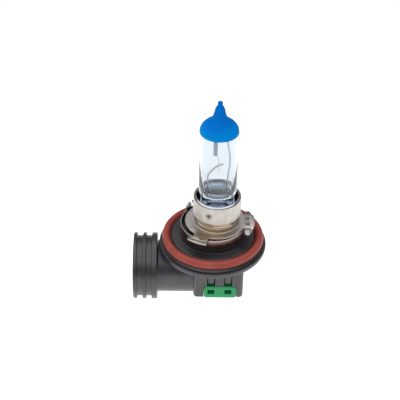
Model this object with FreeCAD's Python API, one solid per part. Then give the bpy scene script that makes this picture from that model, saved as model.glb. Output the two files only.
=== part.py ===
import FreeCAD, Part
import math
import os

os.makedirs("parts", exist_ok=True)

# Right-angle halogen headlight bulb, millimetres.
# Frame: +Z runs up the lamp axis to the tip, the connector points along -X, and the
# origin lies on the axis of the 19 mm reference ring, in the plane of the top faces of
# the three welded tabs, from which the filament height is counted.

# ---- driving dimensions ----
REF_RING_D = 19.0
LIGHT_CENTRE_H = 25.0
FILAMENT_LEN = 4.5
TIP_H = 40.2
BURNER_X = 1.0
GLASS_R = 5.45
GLASS_WALL = 0.7
SEAL_RING_R = 13.5
SEAL_SECTION_R = 1.3
FLANGE_R = 15.6
SOCKET_AXIS_Z = -17.5
SOCKET_R = 9.9
SOCKET_MOUTH_X = -23.25
TUBE_R = 7.65
BLOCK_X0 = -5.55
BLOCK_X1 = 9.1
BLOCK_HALF_Y = 8.9
BLOCK_BOTTOM_Z = -22.5
TERMINAL_PITCH = 6.0
LEAD_PITCH = 5.0
SHEET = 0.5
FIT = 0.03

V = FreeCAD.Vector
UP = V(0, 0, 1)


def save(name, shape):
    solid = shape.Solids[0] if len(shape.Solids) == 1 else shape
    solid.exportStep(os.path.join("parts", name + ".step"))


def polygon(points):
    """Planar face from (x, y, z) corners."""
    corners = [V(*p) for p in points]
    return Part.Face(Part.makePolygon(corners + [corners[0]]))


def turned(points, centre_x=0.0):
    """Solid of revolution about a vertical axis from (radius, height) corners."""
    face = polygon([(centre_x + r, 0, z) for r, z in points])
    return face.revolve(V(centre_x, 0, 0), UP, 360)


def ring(r_in, r_out, z0, z1, centre_x=0.0):
    return turned([(r_in, z0), (r_out, z0), (r_out, z1), (r_in, z1)], centre_x)


def disc(r, z0, z1, x=0.0, y=0.0):
    return Part.makeCylinder(r, z1 - z0, V(x, y, z0))


def rod_x(r, x0, x1, y=0.0, z=SOCKET_AXIS_Z):
    return Part.makeCylinder(r, x1 - x0, V(x0, y, z), V(1, 0, 0))


def block(x0, x1, y0, y1, z0, z1):
    return Part.makeBox(x1 - x0, y1 - y0, z1 - z0, V(x0, y0, z0))


def edges_along(shape, axis, test=lambda p: True):
    """Straight edges parallel to an axis whose midpoint passes the test."""
    found = []
    for edge in shape.Edges:
        if not isinstance(edge.Curve, Part.Line):
            continue
        if abs(edge.Curve.Direction.dot(axis)) < 0.999:
            continue
        if test(edge.CenterOfMass):
            found.append(edge)
    return found


def circles_at(shape, z, radius):
    """Horizontal circular edges at one height and radius."""
    found = []
    for edge in shape.Edges:
        if not isinstance(edge.Curve, Part.Circle):
            continue
        if abs(edge.Curve.Center.z - z) < 0.01 and abs(edge.Curve.Radius - radius) < 0.01:
            found.append(edge)
    return found


def wire_rod(points, radius):
    """Round wire swept along a smooth curve through the points."""
    curve = Part.BSplineCurve()
    curve.interpolate([V(*p) for p in points])
    path = Part.Wire([curve.toShape()])
    start = curve.value(curve.FirstParameter)
    direction = curve.tangent(curve.FirstParameter)[0]
    section = Part.Wire([Part.Circle(start, direction, radius).toShape()])
    shell = path.makePipeShell([section], True, True)
    return Part.Solid(Part.Shell(shell.Faces)) if not shell.Solids else shell.Solids[0]


# ---- glass envelope ----
DOME = [
    (5.44, 30.4), (5.3, 31.35), (5.02, 32.0), (4.65, 32.5), (4.18, 33.0), (3.6, 33.5), (2.93, 34.0),
    (2.33, 34.6), (1.9, 35.4), (1.6, 36.4), (1.36, 37.5), (1.08, 38.2), (0.72, 38.72),
]
CYLINDER_TOP_Z = 29.4
CYLINDER_BOTTOM_Z = 11.0
SHOULDER = [(5.15, 9.95), (4.3, 9.2), (2.9, 8.85)]
CAVITY_TOP = [(4.65, 30.9), (4.2, 31.75), (3.2, 32.5), (1.9, 33.3), (1.1, 34.3), (0.62, 35.8)]
CAVITY_TOP_Z = 36.9
CAVITY_BOTTOM = [(4.4, 11.6), (3.1, 10.95)]
CAVITY_FLOOR_Z = 10.75
PINCH_TOP_Z = 10.9
PINCH_BOTTOM_Z = 3.6
PINCH_HALF_W = 4.2
PINCH_HALF_T = 1.5
NUB_R = 0.68
FOIL_T = 0.12
FOIL_W = 2.2
FOIL_Z0 = 5.2
FOIL_Z1 = 9.8
LEAD_R = 0.26
PIN_R = 0.4
PIN_END_Z = -19.8
LEAD_XS = [BURNER_X - LEAD_PITCH / 2, BURNER_X + LEAD_PITCH / 2]
INNER_XS = [-1.95, 3.7]


def dome_curve(offset):
    """Dome outline moved outward by an offset, from cylinder edge to the foot of the nub."""
    curve = Part.BSplineCurve()
    curve.interpolate(
        [V(r, 0, z) for r, z in [(GLASS_R, CYLINDER_TOP_Z)] + DOME],
        InitialTangent=V(0, 0, 1),
        FinalTangent=V(-1, 0, 0.6),
    )
    if not offset:
        return curve
    first, last = curve.FirstParameter, curve.LastParameter
    count = 48
    moved = []
    for i in range(count + 1):
        u = first + (last - first) * i / count
        point = curve.value(u)
        tangent = curve.tangent(u)[0]
        moved.append(point + V(tangent.z, 0, -tangent.x) * offset)
    shifted = Part.BSplineCurve()
    shifted.interpolate(moved)
    return shifted


def tip_profile(offset):
    """Dome outline and the rounded seal-off nub, as edges ending on the axis."""
    curve = dome_curve(offset)
    foot = curve.value(curve.LastParameter)
    bead_r = NUB_R + offset
    top = V(0, 0, TIP_H - 0.07 + offset)
    waist = V(foot.x, 0, foot.z)
    side = V(bead_r, 0, TIP_H - 0.75)
    nub = Part.BSplineCurve()
    nub.interpolate(
        [waist, V(foot.x - 0.05, 0, foot.z + 0.18), side, V(bead_r * 0.72, 0, TIP_H - 0.24 + offset), top],
        FinalTangent=V(-1, 0, 0),
    )
    return [curve.toShape(), nub.toShape()]


def spun(edges, centre_x):
    """Solid of revolution about the burner axis from closed profile edges."""
    face = Part.Face(Part.Wire(Part.__sortEdges__(edges)))
    solid = face.revolve(V(0, 0, 0), UP, 360)
    solid.translate(V(centre_x, 0, 0))
    return solid


def through(points, start, end):
    """Smooth curve through (radius, height) points with given end directions."""
    curve = Part.BSplineCurve()
    curve.interpolate([V(r, 0, z) for r, z in points], InitialTangent=start, FinalTangent=end)
    return curve.toShape()


DOWN = V(0, 0, -1)
INWARD = V(-1, 0, 0)
foot_r, foot_z = SHOULDER[-1]
outer = tip_profile(0.0)
tip = outer[1].valueAt(outer[1].LastParameter)
outer.append(Part.makeLine(V(GLASS_R, 0, CYLINDER_TOP_Z), V(GLASS_R, 0, CYLINDER_BOTTOM_Z)))
outer.append(through([(GLASS_R, CYLINDER_BOTTOM_Z)] + SHOULDER, DOWN, INWARD))
outer.append(Part.makeLine(V(foot_r, 0, foot_z), V(0, 0, foot_z)))
outer.append(Part.makeLine(V(0, 0, foot_z), tip))
bulb = spun(outer, BURNER_X)

pinch = block(
    BURNER_X - PINCH_HALF_W, BURNER_X + PINCH_HALF_W, -PINCH_HALF_T, PINCH_HALF_T,
    PINCH_BOTTOM_Z, PINCH_TOP_Z,
)
pinch = pinch.makeFillet(0.5, edges_along(pinch, UP))
bulb = bulb.fuse(pinch)

CAVITY_R = GLASS_R - GLASS_WALL
WALL_TOP_Z = 29.6
WALL_BOTTOM_Z = 12.6
cavity = spun(
    [
        through([(CAVITY_R, WALL_TOP_Z)] + CAVITY_TOP + [(0, CAVITY_TOP_Z)], UP, INWARD),
        through([(CAVITY_R, WALL_BOTTOM_Z)] + CAVITY_BOTTOM + [(0, CAVITY_FLOOR_Z)], DOWN, INWARD),
        Part.makeLine(V(CAVITY_R, 0, WALL_TOP_Z), V(CAVITY_R, 0, WALL_BOTTOM_Z)),
        Part.makeLine(V(0, 0, CAVITY_FLOOR_Z), V(0, 0, CAVITY_TOP_Z)),
    ],
    BURNER_X,
)

# ---- lead-in wires, foils and pins sealed in the pinch ----
FILAMENT_X = 0.1
COIL_R = 0.52
COIL_WIRE_R = 0.11
COIL_TURNS = 12
COIL_Z0 = LIGHT_CENTRE_H - FILAMENT_LEN / 2
COIL_Z1 = LIGHT_CENTRE_H + FILAMENT_LEN / 2
SEALED = 0.6

short_lead = wire_rod(
    [
        (INNER_XS[0], 0, FOIL_Z1 - SEALED), (INNER_XS[0], 0, 12.2), (-2.08, 0, 14.9), (-1.35, 0, 16.6),
        (-0.25, 0, 18.3), (1.1, 0, 19.35), (2.25, 0, 19.85),
    ],
    LEAD_R,
)
long_lead = wire_rod(
    [
        (INNER_XS[1], 0, FOIL_Z1 - SEALED), (INNER_XS[1], 0, 12.0), (3.9, 0, 15.8), (4.2, 0, 19.9),
        (4.15, 0, 22.4), (3.75, 0, 24.9), (3.4, 0, 27.4), (2.9, 0, 28.9), (1.6, 0, 29.55), (0.5, 0, 29.3),
    ],
    LEAD_R,
)

helix = Part.makeLongHelix(FILAMENT_LEN / COIL_TURNS, FILAMENT_LEN, COIL_R)
coil_path = Part.Wire(helix.Edges)
coil_start = V(COIL_R, 0, 0)
pitch_angle = math.atan2(FILAMENT_LEN / COIL_TURNS, 2 * math.pi * COIL_R)
coil_dir = V(0, math.cos(pitch_angle), math.sin(pitch_angle))
coil_section = Part.Wire([Part.Circle(coil_start, coil_dir, COIL_WIRE_R).toShape()])
coil = coil_path.makePipeShell([coil_section], True, True)
coil.translate(V(FILAMENT_X, 0, COIL_Z0))
lower_leg = wire_rod(
    [
        (FILAMENT_X + COIL_R, 0.08, COIL_Z0 + 0.02), (FILAMENT_X + COIL_R + 0.05, -0.3, COIL_Z0 - 0.4),
        (1.1, -0.4, 21.3), (1.05, -0.4, 20.2), (1.1, -0.4, 17.9),
    ],
    COIL_WIRE_R,
)
upper_leg = wire_rod(
    [
        (FILAMENT_X + COIL_R, -0.08, COIL_Z1 - 0.02), (FILAMENT_X + COIL_R + 0.1, 0.3, COIL_Z1 + 0.4),
        (0.75, 0.44, 28.4), (0.75, 0.44, 29.9),
    ],
    COIL_WIRE_R,
)
filament = coil.fuse([lower_leg, upper_leg])

foils = []
pins = []
for lead_x, inner_x in zip(LEAD_XS, INNER_XS):
    foil_x = (lead_x + inner_x) / 2
    foils.append(block(foil_x - FOIL_W / 2, foil_x + FOIL_W / 2, -FOIL_T / 2, FOIL_T / 2, FOIL_Z0, FOIL_Z1))
    pins.append(disc(PIN_R, PIN_END_Z, FOIL_Z0 + SEALED, lead_x, 0))

short_lead_cut = short_lead.cut(foils[0])
long_lead_cut = long_lead.cut(foils[1])
foils = [foil.cut(part) for foil, part in zip(foils, pins)]

glass = bulb.cut(cavity)
for sealed in [short_lead, long_lead, foils[0], foils[1], pins[0], pins[1]]:
    glass = glass.cut(sealed)

# ---- blue filter lacquer over the dome ----
LACQUER_T = 0.06
LACQUER_EDGE_Z = 30.5
blue_out = tip_profile(LACQUER_T)
outer_skin = spun(
    blue_out
    + [
        Part.makeLine(V(GLASS_R + LACQUER_T, 0, CYLINDER_TOP_Z), V(0, 0, CYLINDER_TOP_Z)),
        Part.makeLine(V(0, 0, CYLINDER_TOP_Z), blue_out[1].valueAt(blue_out[1].LastParameter)),
    ],
    BURNER_X,
)
lacquer = outer_skin.cut(bulb).cut(disc(GLASS_R + 1, 0, LACQUER_EDGE_Z, BURNER_X))

# ---- sheet-metal burner holder: clip, collar and sleeve ----
COLLAR_R = 6.88
COLLAR_WALL = 0.35
COLLAR_Z0 = 3.2
COLLAR_Z1 = 9.2
RIM_R_IN = 6.05
SLEEVE_R = COLLAR_R - COLLAR_WALL - 0.05
NECK_R = 6.3
PLATE_R = 8.75
PLATE_X = 0.6
FOOT_R = 7.6
WELD_Z = 6.0
WELD_R = 0.58
WELD_DEPTH = 0.14
WELD_ANGLES = [-111.5, 10, 130]

collar = turned(
    [
        (COLLAR_R - COLLAR_WALL, COLLAR_Z0), (COLLAR_R - 0.12, COLLAR_Z0), (COLLAR_R, COLLAR_Z0 + 0.18),
        (COLLAR_R, COLLAR_Z1 - 0.45), (COLLAR_R - 0.14, COLLAR_Z1 - 0.13), (COLLAR_R - 0.45, COLLAR_Z1),
        (RIM_R_IN, COLLAR_Z1 - 0.05), (RIM_R_IN, COLLAR_Z1 - 0.37), (COLLAR_R - 0.52, COLLAR_Z1 - 0.34),
        (COLLAR_R - COLLAR_WALL, COLLAR_Z1 - 0.55),
    ],
    BURNER_X,
)
for angle in WELD_ANGLES:
    a = math.radians(angle)
    out = V(math.cos(a), math.sin(a), 0)
    pit = Part.makeCone(
        WELD_R * 0.6, WELD_R, WELD_DEPTH + 0.2,
        V(BURNER_X, 0, WELD_Z) + out * (COLLAR_R - WELD_DEPTH), out,
    )
    collar = collar.cut(pit)

sleeve_wall = turned(
    [
        (SLEEVE_R - 0.35, 8.3), (SLEEVE_R - 0.35, 3.4), (NECK_R - 0.42, 2.9), (NECK_R - 0.42, 0.2),
        (NECK_R - 0.42, -SHEET), (FOOT_R, -SHEET), (FOOT_R, 0), (NECK_R + 0.55, 0), (NECK_R + 0.2, 0.15),
        (NECK_R, 0.5), (NECK_R, 0.85), (NECK_R + 0.14, 1.05), (NECK_R + 0.14, 1.45), (NECK_R - 0.06, 1.65),
        (NECK_R - 0.06, 2.35), (NECK_R + 0.04, 2.55), (NECK_R + 0.1, 2.9), (SLEEVE_R, 3.3), (SLEEVE_R, 8.3),
    ],
    BURNER_X,
)


def sector(r_in, r_out, mid_deg, width, z0, z1):
    """Flat lug pointing outward at one angle, with a round outer edge and parallel sides."""
    body = ring(r_in, r_out, z0, z1)
    strip = block(0, r_out + 1, -width / 2, width / 2, z0, z1)
    strip.rotate(V(0, 0, 0), UP, mid_deg)
    return body.common(strip)


def bumps(radius, height, places, z):
    return [Part.makeSphere(radius, V(x, y, z)) for x, y in places]


# Three tabs of the sleeve's plate lie on the three lugs of the reference ring.
TABS = [(-3.4, 6.4, 12.0), (-113.9, 4.6, 10.3), (106.0, 4.6, 10.8)]
LUGS = [(-3.4, 11.0, 11.8), (-116.9, 6.2, 11.1), (107.0, 6.2, 11.8)]
POST_ANGLE = 141.6
DIMPLES = [(9.92, 0.72), (9.88, -1.83), (-3.31, -8.68), (-2.56, 8.94)]
DIMPLE_R = 0.55

sleeve = sleeve_wall.fuse(ring(FOOT_R - 0.8, PLATE_R, -SHEET, 0, PLATE_X))
for angle, width, reach in TABS:
    tab = sector(7.2, reach, angle, width, -SHEET, 0)
    tab = tab.makeFillet(0.6, edges_along(tab, UP, lambda p: math.hypot(p.x, p.y) > 9.5))
    sleeve = sleeve.fuse(tab)
sleeve = sleeve.cut(disc(NECK_R - 0.42, -1, 1, BURNER_X))
for x, y in DIMPLES:
    sleeve = sleeve.cut(Part.makeCone(DIMPLE_R, DIMPLE_R * 0.6, 0.3, V(x, y, 0.001), V(0, 0, -1)))
sleeve = sleeve.removeSplitter()

REF_R = REF_RING_D / 2
REF_R_IN = REF_R - 0.45
REF_Z0 = -3.4
reference_ring = ring(REF_R_IN, REF_R, REF_Z0, -SHEET)
for angle, width, reach in LUGS:
    lug = sector(REF_R_IN + 0.1, reach, angle, width, -2 * SHEET, -SHEET)
    lug = lug.makeFillet(0.6, edges_along(lug, UP, lambda p: math.hypot(p.x, p.y) > 10.5))
    reference_ring = reference_ring.fuse(lug)
post = block(REF_R_IN, REF_R_IN + 0.6, -0.65, 0.65, -1.4, 1.6)
post = post.makeFillet(0.45, edges_along(post, V(1, 0, 0), lambda p: p.z > 1.5))
post.rotate(V(0, 0, 0), UP, POST_ANGLE)
reference_ring = reference_ring.fuse(post).removeSplitter()

# The clip grips the glass pinch. Its plate reaches the sleeve in front and behind only.
CLIP_T = 0.3
CLIP_Z = 7.9
CLIP_JAW_HALF_W = 3.9
CLIP_SIDE_GAP = 2.7
CLIP_GAP_X = 4.9
SLIT_W = 0.45
SLIT_R0 = 3.6
SLIT_R1 = 5.3
clip = disc(SLEEVE_R - 0.35 - FIT, CLIP_Z, CLIP_Z + CLIP_T, BURNER_X)
pinch_opening = block(
    BURNER_X - PINCH_HALF_W - 0.2, BURNER_X + PINCH_HALF_W + 0.2, -PINCH_HALF_T - FIT, PINCH_HALF_T + FIT,
    CLIP_Z - 1, CLIP_Z + 1,
)
clip = clip.cut(pinch_opening)
for side in (-1, 1):
    near_x = BURNER_X + side * CLIP_GAP_X
    far_x = BURNER_X + side * (SLEEVE_R + 1)
    gap = block(
        min(near_x, far_x), max(near_x, far_x), -CLIP_SIDE_GAP, CLIP_SIDE_GAP, CLIP_Z - 1, CLIP_Z + 1
    )
    clip = clip.cut(gap)
for angle in (-125, -55, 55, 125):
    slit = block(SLIT_R0, SLIT_R1, -SLIT_W / 2, SLIT_W / 2, CLIP_Z - 1, CLIP_Z + 1)
    slit.rotate(V(0, 0, 0), UP, angle)
    slit.translate(V(BURNER_X, 0, 0))
    clip = clip.cut(slit)
for side in (-1, 1):
    y0 = side * (PINCH_HALF_T + FIT)
    y1 = side * (PINCH_HALF_T + FIT + CLIP_T)
    jaw = block(
        BURNER_X - CLIP_JAW_HALF_W, BURNER_X + CLIP_JAW_HALF_W, min(y0, y1), max(y0, y1),
        PINCH_BOTTOM_Z + 0.4, CLIP_Z + CLIP_T,
    )
    clip = clip.fuse(jaw)
clip = clip.removeSplitter()

# ---- moulded housing ----
BOSS_R = REF_R - 0.02
FLOOR_Z = -5.1
SEAT_Z = -5.8 - SEAL_SECTION_R
FLANGE_TOP_Z = -7.7
FLANGE_BOTTOM_Z = -9.1
BORE_R = 5.2
SOCKET_HALF_Y = 6.6
SOCKET_HALF_Z = 4.8
SOCKET_CORNER = 3.2
SOCKET_END_X = -9.0
RIB_H = 0.85
TUBE_END_X = 3.0

hub = turned(
    [
        (0, FLANGE_BOTTOM_Z), (FLANGE_R - 0.3, FLANGE_BOTTOM_Z), (FLANGE_R, FLANGE_BOTTOM_Z + 0.3),
        (FLANGE_R, FLANGE_TOP_Z - 0.25), (FLANGE_R - 0.25, FLANGE_TOP_Z), (14.6, FLANGE_TOP_Z),
        (14.1, SEAT_Z), (SEAL_RING_R - SEAL_SECTION_R, SEAT_Z),
        (SEAL_RING_R - SEAL_SECTION_R, FLOOR_Z - 0.15), (SEAL_RING_R - SEAL_SECTION_R - 0.15, FLOOR_Z),
        (BOSS_R - 0.05, FLOOR_Z), (BOSS_R - 0.05, REF_Z0), (REF_R_IN - 0.02, REF_Z0),
        (REF_R_IN - 0.02, -2.6), (0, -2.6),
    ]
)
body_block = block(BLOCK_X0, BLOCK_X1, -BLOCK_HALF_Y, BLOCK_HALF_Y, BLOCK_BOTTOM_Z, FLANGE_BOTTOM_Z + 0.2)
body_block = body_block.makeFillet(1.2, edges_along(body_block, UP))
body_block = body_block.makeFillet(
    0.9, [e for e in body_block.Edges if abs(e.BoundBox.ZMax - BLOCK_BOTTOM_Z) < 0.01]
)
tube = rod_x(TUBE_R, SOCKET_MOUTH_X + 4, TUBE_END_X)
tube = tube.makeFillet(2.5, [e for e in tube.Edges if abs(e.BoundBox.XMin - TUBE_END_X) < 0.01])
shroud_len = 7.0
shroud = rod_x(SOCKET_R - RIB_H, SOCKET_MOUTH_X, SOCKET_MOUTH_X + shroud_len)
for start, end in ((0, 1.0), (2.75, 3.75), (5.4, 7.0)):
    rib = rod_x(SOCKET_R, SOCKET_MOUTH_X + start, SOCKET_MOUTH_X + end)
    shroud = shroud.fuse(rib)
housing = hub.fuse([body_block, tube, shroud])


def socket_solid(x0, x1, half_y, half_z, corner):
    """Rounded-rectangle bar along X about the socket axis."""
    bar = block(x0, x1, -half_y, half_y, SOCKET_AXIS_Z - half_z, SOCKET_AXIS_Z + half_z)
    return bar.makeFillet(corner, edges_along(bar, V(1, 0, 0)))


housing = housing.cut(
    socket_solid(SOCKET_MOUTH_X - 1, SOCKET_END_X, SOCKET_HALF_Y, SOCKET_HALF_Z, SOCKET_CORNER)
)
housing = housing.cut(socket_solid(SOCKET_MOUTH_X - 1, SOCKET_MOUTH_X + 5.4, 7.6, 5.9, 4.0))

# Chamber for the welded leads, open to the bore above and to the lock pocket in front.
CHAMBER = (-4.3, 7.4, -5.0, 5.0, BLOCK_BOTTOM_Z + 1.3, FLANGE_BOTTOM_Z)
housing = housing.cut(block(*CHAMBER))
housing = housing.cut(disc(BORE_R, FLANGE_BOTTOM_Z - 0.5, 0, BURNER_X))

# ---- terminal lock and the pocket it slides in ----
LOCK_X0 = -2.5
LOCK_X1 = 7.15
LOCK_TOP_Z = -17.95
LOCK_FACE_Y = -BLOCK_HALF_Y - 0.12
LOCK_DEPTH = 3.9
LOCK_GAP = 0.06
LOCK_BOTTOM_Z = BLOCK_BOTTOM_Z + 0.35
LATCH_XS = [-0.36, 4.64]
WINDOW_HALF_W = 1.0
WINDOW_Z0 = -20.8
WINDOW_Z1 = -19.2
LATCH_W = 2.36
pocket = block(
    LOCK_X0 - LOCK_GAP, LOCK_X1 + LOCK_GAP, -BLOCK_HALF_Y - 1, -5.0,
    BLOCK_BOTTOM_Z - 1, LOCK_TOP_Z + LOCK_GAP,
)
pocket = pocket.makeFillet(0.8, edges_along(pocket, V(0, 1, 0), lambda p: p.z > LOCK_TOP_Z - 1))
housing = housing.cut(pocket)
for x in LATCH_XS:
    slot = block(
        x - LATCH_W / 2, x + LATCH_W / 2, -BLOCK_HALF_Y - 1, -BLOCK_HALF_Y + 1.5,
        LOCK_TOP_Z - 0.5, FLANGE_BOTTOM_Z - 1.0,
    )
    tongue = block(
        x - LATCH_W / 2 + 0.32, x + LATCH_W / 2 - 0.32, -BLOCK_HALF_Y + 0.25, -BLOCK_HALF_Y + 1.6,
        LOCK_TOP_Z + 0.95, FLANGE_BOTTOM_Z - 0.9,
    )
    housing = housing.cut(slot).fuse(tongue)

lock = block(LOCK_X0, LOCK_X1, LOCK_FACE_Y, -BLOCK_HALF_Y + LOCK_DEPTH - 0.1, LOCK_BOTTOM_Z, LOCK_TOP_Z)
lock = lock.makeFillet(0.9, edges_along(lock, V(0, 1, 0)))
for x in LATCH_XS:
    window = block(
        x - WINDOW_HALF_W, x + WINDOW_HALF_W, LOCK_FACE_Y - 1, LOCK_FACE_Y + LOCK_DEPTH + 1, WINDOW_Z0, WINDOW_Z1
    )
    lock = lock.cut(window)

# ---- terminals, lead sleeves and potting ----
BLADE_T = 0.8
BLADE_W = 2.8
BLADE_TIP_X = SOCKET_MOUTH_X + 2.6
SLEEVE_OD_R = 0.85
WELD_TOP_Z = SOCKET_AXIS_Z + BLADE_W / 2
terminals = []
lead_sleeves = []
for side, pin_x in ((1, LEAD_XS[0]), (-1, LEAD_XS[1])):
    y_mid = side * TERMINAL_PITCH / 2
    z0 = SOCKET_AXIS_Z - BLADE_W / 2
    blade = block(BLADE_TIP_X, pin_x + 0.4, y_mid - BLADE_T / 2, y_mid + BLADE_T / 2, z0, WELD_TOP_Z)
    blade = blade.makeChamfer(
        0.3, [e for e in blade.Edges if abs(e.BoundBox.XMax - BLADE_TIP_X) < 0.01]
    )
    foot_near = side * (SLEEVE_OD_R + 0.01)
    foot = block(
        pin_x - 0.4, pin_x + 0.4, min(foot_near, y_mid), max(foot_near, y_mid), z0, WELD_TOP_Z
    )
    barbs = block(-8.4, -7.4, y_mid - 0.4, y_mid + 0.4, z0 - 0.35, WELD_TOP_Z + 0.35)
    terminals.append(blade.fuse([foot, barbs]).removeSplitter())
    lead_sleeves.append(ring(PIN_R + 0.01, SLEEVE_OD_R, z0 - 0.3, WELD_TOP_Z + 0.3, pin_x))
for terminal in terminals:
    housing = housing.cut(terminal)
housing = housing.removeSplitter()

potting = disc(BORE_R - FIT, -8.6, -6.2, BURNER_X)
spacer = disc(BORE_R - FIT, -4.2, -2.9, BURNER_X)
for x in LEAD_XS:
    potting = potting.cut(disc(PIN_R + 0.01, -9, -6, x))
    spacer = spacer.cut(disc(PIN_R + 0.01, -5, -2, x))

seal = Part.makeTorus(SEAL_RING_R, SEAL_SECTION_R - 0.01, V(0, 0, -5.8 + 0.01), UP)

NODES = {
    "glass_envelope": glass,
    "dome_lacquer": lacquer,
    "filament_coil": filament,
    "short_lead": short_lead_cut,
    "long_lead": long_lead_cut,
    "seal_foil_short": foils[0],
    "seal_foil_long": foils[1],
    "lead_pin_short": pins[0],
    "lead_pin_long": pins[1],
    "pinch_clip": clip,
    "burner_collar": collar,
    "base_sleeve": sleeve,
    "reference_ring": reference_ring,
    "lead_spacer": spacer,
    "base_potting": potting,
    "lead_sleeve_short": lead_sleeves[0],
    "lead_sleeve_long": lead_sleeves[1],
    "terminal_short": terminals[0],
    "terminal_long": terminals[1],
    "base_housing": housing,
    "seal_ring": seal,
    "terminal_lock": lock,
}
for name, shape in NODES.items():
    save(name, shape)
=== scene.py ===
# %% [markdown]
# # A right-angle headlight bulb, piece by piece
# The CAD model is loaded first and stays fixed. Every visible piece of the bulb is then
# modelled again in finer detail in the same frame: +Z up the lamp axis, the plug socket
# along -X, sizes in millimetres until a mesh is finished and then in metres.

# %% Load the frame
import math

import bmesh
import bpy
from mathutils import Matrix, Vector


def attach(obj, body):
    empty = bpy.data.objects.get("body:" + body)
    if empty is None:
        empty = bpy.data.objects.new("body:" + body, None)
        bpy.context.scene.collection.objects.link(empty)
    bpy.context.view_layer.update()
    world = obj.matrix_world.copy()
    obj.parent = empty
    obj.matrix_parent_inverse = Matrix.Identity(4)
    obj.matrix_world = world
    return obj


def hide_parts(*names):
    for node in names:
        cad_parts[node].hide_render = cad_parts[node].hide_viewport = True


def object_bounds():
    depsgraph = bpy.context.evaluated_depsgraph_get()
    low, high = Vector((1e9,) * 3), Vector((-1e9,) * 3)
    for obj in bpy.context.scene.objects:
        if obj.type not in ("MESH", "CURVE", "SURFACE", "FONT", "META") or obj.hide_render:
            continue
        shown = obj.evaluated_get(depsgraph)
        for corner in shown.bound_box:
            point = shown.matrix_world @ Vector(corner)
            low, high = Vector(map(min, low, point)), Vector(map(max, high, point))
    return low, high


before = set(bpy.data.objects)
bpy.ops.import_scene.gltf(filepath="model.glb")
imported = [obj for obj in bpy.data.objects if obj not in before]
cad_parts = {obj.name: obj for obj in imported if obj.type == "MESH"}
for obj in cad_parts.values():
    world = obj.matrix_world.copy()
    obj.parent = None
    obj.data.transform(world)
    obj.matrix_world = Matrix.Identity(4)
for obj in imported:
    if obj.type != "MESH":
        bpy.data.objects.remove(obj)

cad_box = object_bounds()
MM = 0.001
LAMP = "lamp"
LOCK = "lock"
BURNER_X = 1.0
print("cad box mm", [[round(v / MM, 2) for v in corner] for corner in cad_box])

# %% [markdown]
# ## Helpers for shapes
# Most pieces of a bulb are turned, drawn or pressed. A turned piece is an outline spun
# about an axis, so one helper rounds the outline's corners, because a real edge always
# catches a thin line of light, and another spins it. Pieces with pockets are joined and
# carved with Boolean modifiers whose result is kept as the mesh.


# %% Outlines and spins
def rounded_outline(corners, steps=4):
    """Corners are (a, b, radius). Returns the outline's points with arcs at the corners."""
    points = []
    count = len(corners)
    for i, (a, b, radius) in enumerate(corners):
        here = Vector((a, b))
        before = Vector(corners[i - 1][:2])
        after = Vector(corners[(i + 1) % count][:2])
        if radius <= 0:
            points.append(here)
            continue
        to_before = (before - here).normalized()
        to_after = (after - here).normalized()
        half = to_before.angle(to_after) / 2
        reach = radius / math.tan(half)
        start = here + to_before * reach
        end = here + to_after * reach
        centre = here + (to_before + to_after).normalized() * (radius / math.sin(half))
        for k in range(steps + 1):
            t = k / steps
            way = (start - centre).lerp(end - centre, t).normalized()
            points.append(centre + way * radius)
    return points


def spun_outline(points, steps, axis="Z", centre=(0, 0, 0)):
    """Spins closed (radius, height) points about Z, or (radius, distance) points about X."""
    bm = bmesh.new()
    about_x = axis == "X"
    centre = Vector(centre)
    verts = []
    for radius, height in points:
        place = Vector((height, 0, radius)) if about_x else Vector((radius, 0, height))
        verts.append(bm.verts.new(centre + place))
    edges = [bm.edges.new(pair) for pair in zip(verts, verts[1:] + verts[:1])]
    bmesh.ops.spin(
        bm, geom=verts + edges, cent=centre, axis=(1, 0, 0) if about_x else (0, 0, 1),
        angle=math.tau, steps=steps, use_merge=True,
    )
    bmesh.ops.remove_doubles(bm, verts=bm.verts, dist=1e-5)
    bmesh.ops.recalc_face_normals(bm, faces=bm.faces)
    return bm


def rounded_edges(bm, edges, radius, segments=6):
    """Rounds the given edges."""
    bmesh.ops.bevel(
        bm, geom=edges, offset=radius, offset_type="OFFSET", segments=segments, profile=0.5,
        affect="EDGES", material=-1,
    )


def rounded_bar(low, high, upright=0.0, edge=0.0, axis="Z"):
    """A box between two corners, first rounded along one axis and then on every edge."""
    bm = bmesh.new()
    low, high = Vector(low), Vector(high)
    size = high - low
    place = Matrix.Translation((low + high) / 2) @ Matrix.Diagonal((*size, 1))
    bmesh.ops.create_cube(bm, size=1, matrix=place)
    along = "XYZ".index(axis)
    if upright:
        picked = [e for e in bm.edges if abs((e.verts[0].co - e.verts[1].co)[along]) > size[along] * 0.9]
        rounded_edges(bm, picked, upright)
    if edge:
        soften(bm, edge)
    bmesh.ops.recalc_face_normals(bm, faces=bm.faces)
    return bm


def soften(bm, width, over_deg=40):
    """Bevels every edge that is sharper than an angle."""
    limit = math.radians(over_deg)
    sharp = [e for e in bm.edges if len(e.link_faces) == 2 and e.calc_face_angle() > limit]
    bmesh.ops.bevel(
        bm, geom=sharp, offset=width, offset_type="OFFSET", segments=2, profile=0.5,
        affect="EDGES", material=-1, clamp_overlap=True,
    )


print("outline check", len(rounded_outline([(0, 0, 1), (4, 0, 1), (4, 4, 1), (0, 4, 1)])), "points")


# %% Joining and carving
def loose_object(bm, name="tool"):
    """A helper object holding a shape, in millimetres."""
    mesh = bpy.data.meshes.new(name)
    bm.to_mesh(mesh)
    bm.free()
    obj = bpy.data.objects.new(name, mesh)
    bpy.context.scene.collection.objects.link(obj)
    return obj


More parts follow.
